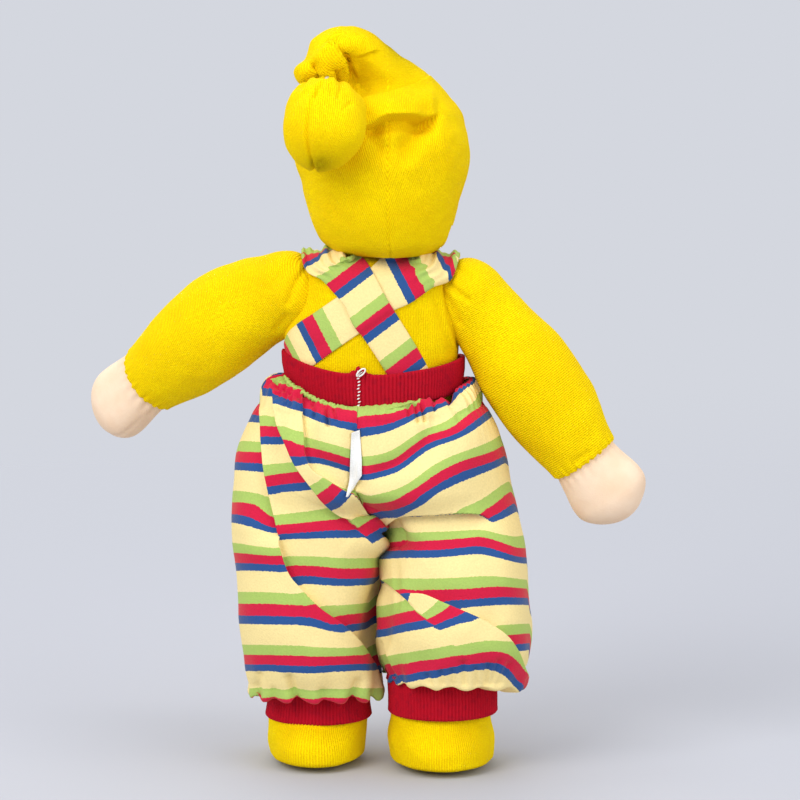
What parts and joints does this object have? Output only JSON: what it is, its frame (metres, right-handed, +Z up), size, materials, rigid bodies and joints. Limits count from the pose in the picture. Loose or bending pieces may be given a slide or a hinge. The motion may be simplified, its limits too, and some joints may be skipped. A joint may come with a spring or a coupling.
{
  "type": "cloth doll",
  "caption": "Stuffed cloth doll in a yellow terry suit with a tied hood, wearing striped dungarees with crossed back straps and ribbed cuffs.",
  "frame": {"origin": "on the floor, under the middle of the doll's box", "axes": "+Z up; the doll faces -Y, and its left hand points to +X"},
  "size_m": [0.268, 0.1321, 0.3561],
  "materials": {
    "yellow_terry": "cotton terry with short loops, matt",
    "peach_tricot": "fine cotton tricot, matt",
    "wool_stuffing": "carded sheep wool",
    "striped_jersey": "cotton jersey in cream with red, blue and green stripes",
    "red_rib": "knitted rib, matt",
    "white_thread": "sewing thread",
    "white_tape": "satin label tape, bare",
    "brown_thread": "embroidery cotton",
    "rose_thread": "embroidery cotton"
  },
  "bodies": {
    "torso": {"torso_skin": "yellow_terry", "torso_wool": "wool_stuffing", "trouser_left": "striped_jersey", "trouser_right": "striped_jersey", "waistband": "red_rib", "back_seam_stitching": "white_thread", "left_strap": "striped_jersey", "right_strap": "striped_jersey"},
    "neck": {"neck": "peach_tricot", "neck_tie": "white_thread"},
    "head": {"head_skin": "peach_tricot", "head_wool": "wool_stuffing", "left_eye": "brown_thread", "right_eye": "brown_thread", "mouth": "rose_thread", "hood": "yellow_terry", "bobble_tie": "white_thread"},
    "bobble": {"bobble": "yellow_terry", "bobble_wool": "wool_stuffing"},
    "label": {"care_label": "white_tape"},
    "left_shoulder": {"left_shoulder_wool": "wool_stuffing"},
    "left_arm": {"left_sleeve": "yellow_terry", "left_arm_wool": "wool_stuffing", "left_hand": "peach_tricot"},
    "left_leg": {"left_leg_skin": "yellow_terry", "left_leg_wool": "wool_stuffing", "left_cuff": "red_rib"},
    "right_shoulder": {"right_shoulder_wool": "wool_stuffing"},
    "right_arm": {"right_sleeve": "yellow_terry", "right_arm_wool": "wool_stuffing", "right_hand": "peach_tricot"},
    "right_leg": {"right_leg_skin": "yellow_terry", "right_leg_wool": "wool_stuffing", "right_cuff": "red_rib"}
  },
  "joints": [
    {"name": "neck_turn", "type": "hinge", "parent": "torso", "child": "neck", "pos_m": [-0.0106, 0.0026, 0.25], "axis": [0, 0, 1], "range_deg": [-60, 60], "stiffness_Nm_per_rad": 0.3},
    {"name": "head_nod", "type": "hinge", "parent": "neck", "child": "head", "pos_m": [-0.0106, 0.0026, 0.257], "axis": [1, 0, 0], "range_deg": [-6, 8], "stiffness_Nm_per_rad": 1.2},
    {"name": "bobble_swing", "type": "hinge", "parent": "head", "child": "bobble", "pos_m": [0.0164, 0.0296, 0.333], "axis": [0.5012, 0.5012, 0.7054], "range_deg": [-15, 15], "stiffness_Nm_per_rad": 0.03},
    {"name": "left_arm_raise", "type": "hinge", "parent": "torso", "child": "left_shoulder", "pos_m": [0.0354, 0.0026, 0.229], "axis": [0, -1, 0], "range_deg": [-15, 40], "stiffness_Nm_per_rad": 0.5, "springref_deg": 2.86},
    {"name": "left_arm_swing", "type": "hinge", "parent": "left_shoulder", "child": "left_arm", "pos_m": [0.0354, 0.0026, 0.229], "axis": [-1, 0, 0], "range_deg": [-70, 35], "stiffness_Nm_per_rad": 0.5, "springref_deg": 1.72},
    {"name": "right_arm_raise", "type": "hinge", "parent": "torso", "child": "right_shoulder", "pos_m": [-0.0506, 0.0026, 0.229], "axis": [0, 1, 0], "range_deg": [0, 50], "stiffness_Nm_per_rad": 0.5, "springref_deg": 2.29},
    {"name": "right_arm_swing", "type": "hinge", "parent": "right_shoulder", "child": "right_arm", "pos_m": [-0.0506, 0.0026, 0.229], "axis": [-1, 0, 0], "range_deg": [-30, 65], "stiffness_Nm_per_rad": 0.5},
    {"name": "left_hip", "type": "hinge", "parent": "torso", "child": "left_leg", "pos_m": [0.0164, 0.0026, 0.133], "axis": [-1, 0, 0], "range_deg": [-15, 80], "stiffness_Nm_per_rad": 1, "deforming": ["trouser_left"]},
    {"name": "right_hip", "type": "hinge", "parent": "torso", "child": "right_leg", "pos_m": [-0.0316, 0.0026, 0.133], "axis": [-1, 0, 0], "range_deg": [-15, 80], "stiffness_Nm_per_rad": 1, "deforming": ["trouser_right"]},
    {"name": "label_flap", "type": "hinge", "parent": "torso", "child": "label", "pos_m": [0.0024, 0.0432, 0.168], "axis": [1, 0, 0], "range_deg": [0, 60]}
  ]
}
